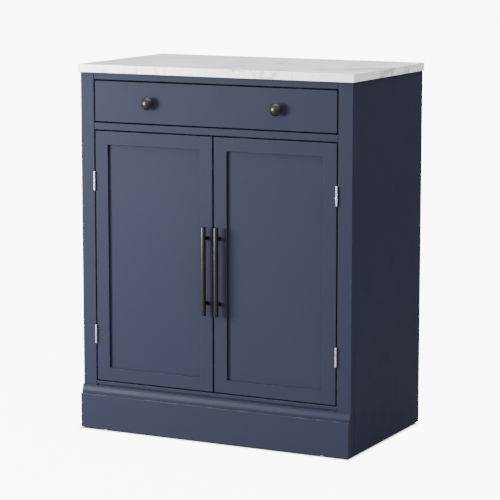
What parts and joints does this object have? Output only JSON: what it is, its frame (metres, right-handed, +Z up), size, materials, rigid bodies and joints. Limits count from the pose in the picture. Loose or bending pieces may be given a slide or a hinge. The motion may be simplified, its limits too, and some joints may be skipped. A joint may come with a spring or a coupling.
{
  "type": "kitchen island cabinet",
  "caption": "Free-standing kitchen island cabinet with a marble-look worktop, one drawer over two framed doors, and a moulded base board.",
  "frame": {"origin": "on the floor, at the middle of the outer box, which runs from the front of the pulls to the back edge of the side panels", "axes": "+Z up, +X to the right when facing the cabinet, +Y from the doors towards the back panel"},
  "size_m": [0.746, 0.447, 0.917],
  "materials": {
    "worktop_stone": "satin marble-look surface on a board core",
    "cabinet_paint": "satin slate-blue paint",
    "raw_board": "bare wood-based board",
    "dark_bronze": "satin dark bronze",
    "satin_nickel": "satin nickel plate",
    "zinc_steel": "bright zinc plate",
    "grey_plastic": "moulded grey plastic"
  },
  "bodies": {
    "cabinet": {"worktop": "worktop_stone", "left_side_panel": "cabinet_paint", "right_side_panel": "cabinet_paint", "back_panel": "raw_board", "bottom_panel": "cabinet_paint", "divider_panel": "cabinet_paint", "shelf": "cabinet_paint", "shelf_pins": "zinc_steel", "left_face_stile": "cabinet_paint", "right_face_stile": "cabinet_paint", "top_rail": "cabinet_paint", "middle_rail": "cabinet_paint", "bottom_rail": "cabinet_paint", "plinth_board": "cabinet_paint", "front_stretcher": "raw_board", "rear_stretcher": "raw_board", "rear_base_rail": "raw_board", "floor_glides": "grey_plastic", "long_screws": "zinc_steel", "short_screws": "zinc_steel", "cam_fittings": "zinc_steel", "dowels": "raw_board", "slide_packers": "raw_board", "left_slide_outer": "zinc_steel", "right_slide_outer": "zinc_steel", "magnetic_catches": "grey_plastic", "frame_hinge_leaves": "satin_nickel", "hinge_pins": "satin_nickel"},
    "drawer": {"drawer_front": "cabinet_paint", "drawer_left_side": "raw_board", "drawer_right_side": "raw_board", "drawer_inner_front": "raw_board", "drawer_back": "raw_board", "drawer_bottom": "raw_board", "drawer_screws": "zinc_steel", "left_knob": "dark_bronze", "right_knob": "dark_bronze", "knob_screws": "zinc_steel", "left_slide_inner": "zinc_steel", "right_slide_inner": "zinc_steel"},
    "left_runner": {"left_slide_middle": "zinc_steel"},
    "right_runner": {"right_slide_middle": "zinc_steel"},
    "left_door": {"left_hinge_stile": "cabinet_paint", "left_free_stile": "cabinet_paint", "left_upper_rail": "cabinet_paint", "left_lower_rail": "cabinet_paint", "left_door_panel": "cabinet_paint", "left_pull": "dark_bronze", "left_door_leaves": "satin_nickel", "left_strike_plate": "zinc_steel", "left_door_screws": "zinc_steel"},
    "right_door": {"right_hinge_stile": "cabinet_paint", "right_free_stile": "cabinet_paint", "right_upper_rail": "cabinet_paint", "right_lower_rail": "cabinet_paint", "right_door_panel": "cabinet_paint", "right_pull": "dark_bronze", "right_door_leaves": "satin_nickel", "right_strike_plate": "zinc_steel", "right_door_screws": "zinc_steel"}
  },
  "joints": [
    {"name": "drawer_slide", "type": "slide", "parent": "cabinet", "child": "drawer", "axis": [0, -1, 0], "range_m": [0, 0.32]},
    {"name": "left_runner_slide", "type": "slide", "parent": "cabinet", "child": "left_runner", "axis": [0, -1, 0], "range_m": [0, 0.16]},
    {"name": "right_runner_slide", "type": "slide", "parent": "cabinet", "child": "right_runner", "axis": [0, -1, 0], "range_m": [0, 0.16]},
    {"name": "left_door_hinge", "type": "hinge", "parent": "cabinet", "child": "left_door", "pos_m": [-0.3295, -0.20135, 0.43925], "axis": [0, 0, -1], "range_deg": [0, 170]},
    {"name": "right_door_hinge", "type": "hinge", "parent": "cabinet", "child": "right_door", "pos_m": [0.3295, -0.20135, 0.43925], "axis": [0, 0, 1], "range_deg": [0, 170]}
  ],
  "couplings": [
    {"joint": "left_runner_slide", "follows": "drawer_slide", "ratio": 0.5},
    {"joint": "right_runner_slide", "follows": "drawer_slide", "ratio": 0.5}
  ]
}
